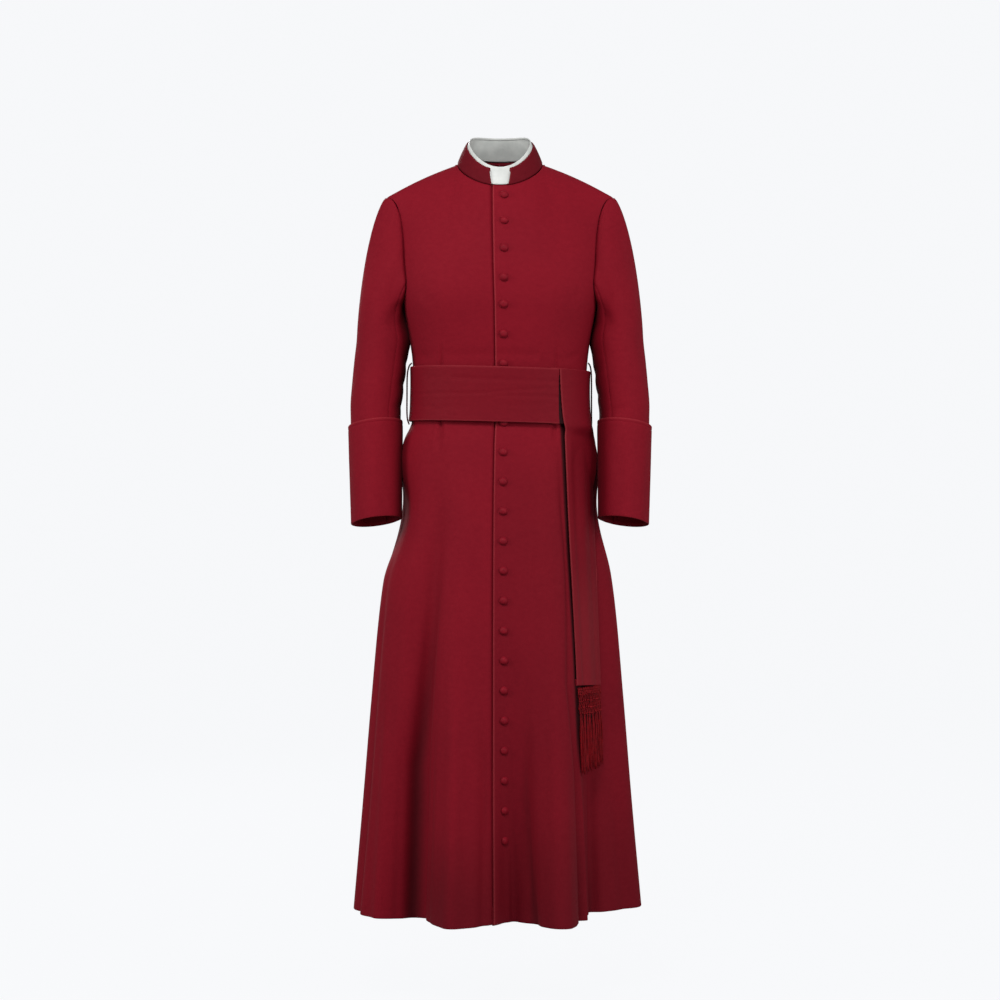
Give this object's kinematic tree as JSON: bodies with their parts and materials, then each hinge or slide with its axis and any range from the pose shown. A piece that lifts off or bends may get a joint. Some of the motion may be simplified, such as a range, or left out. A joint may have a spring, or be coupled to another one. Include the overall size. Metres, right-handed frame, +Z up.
{
  "type": "cassock with fringed cincture",
  "caption": "Full-length buttoned cassock with standing notched collar, deep turned-back cuffs and a waist cincture whose fringed end hangs at the wearer's left.",
  "frame": {"origin": "midway between the two neck points, where the shoulder seams meet the collar, on the garment's mid plane", "axes": "+Z up toward the collar, -Y toward the front with the buttons, +X toward the wearer's left"},
  "size_m": [0.5606, 0.4844, 1.4265],
  "materials": {
    "cassock_cloth": "matte fine twill, deep crimson",
    "cincture_cloth": "smooth ribbed band cloth, deep crimson with a low sheen",
    "fringe_yarn": "twisted yarn, dark crimson",
    "button_cloth": "cloth-covered dome",
    "loop_cord": "fine cord",
    "collar_insert": "smooth white starched strip"
  },
  "bodies": {
    "root": {"front_left": "cassock_cloth", "front_right": "cassock_cloth", "back_left": "cassock_cloth", "back_right": "cassock_cloth", "sleeve_top_left": "cassock_cloth", "sleeve_under_left": "cassock_cloth", "cuff_left": "cassock_cloth", "sleeve_top_right": "cassock_cloth", "sleeve_under_right": "cassock_cloth", "cuff_right": "cassock_cloth", "collar": "cassock_cloth", "collar_insert": "collar_insert", "button_01": "button_cloth", "button_02": "button_cloth", "button_03": "button_cloth", "button_04": "button_cloth", "button_05": "button_cloth", "button_06": "button_cloth", "button_07": "button_cloth", "button_08": "button_cloth", "button_09": "button_cloth", "button_10": "button_cloth", "button_11": "button_cloth", "button_12": "button_cloth", "button_13": "button_cloth", "button_14": "button_cloth", "button_15": "button_cloth", "button_16": "button_cloth", "button_17": "button_cloth", "button_18": "button_cloth", "button_19": "button_cloth", "button_20": "button_cloth", "button_21": "button_cloth", "button_22": "button_cloth", "button_23": "button_cloth", "cincture_band": "cincture_cloth", "cincture_fall": "cincture_cloth", "cincture_fringe": "fringe_yarn", "belt_loop_left": "loop_cord", "belt_loop_right": "loop_cord"}
  },
  "joints": []
}
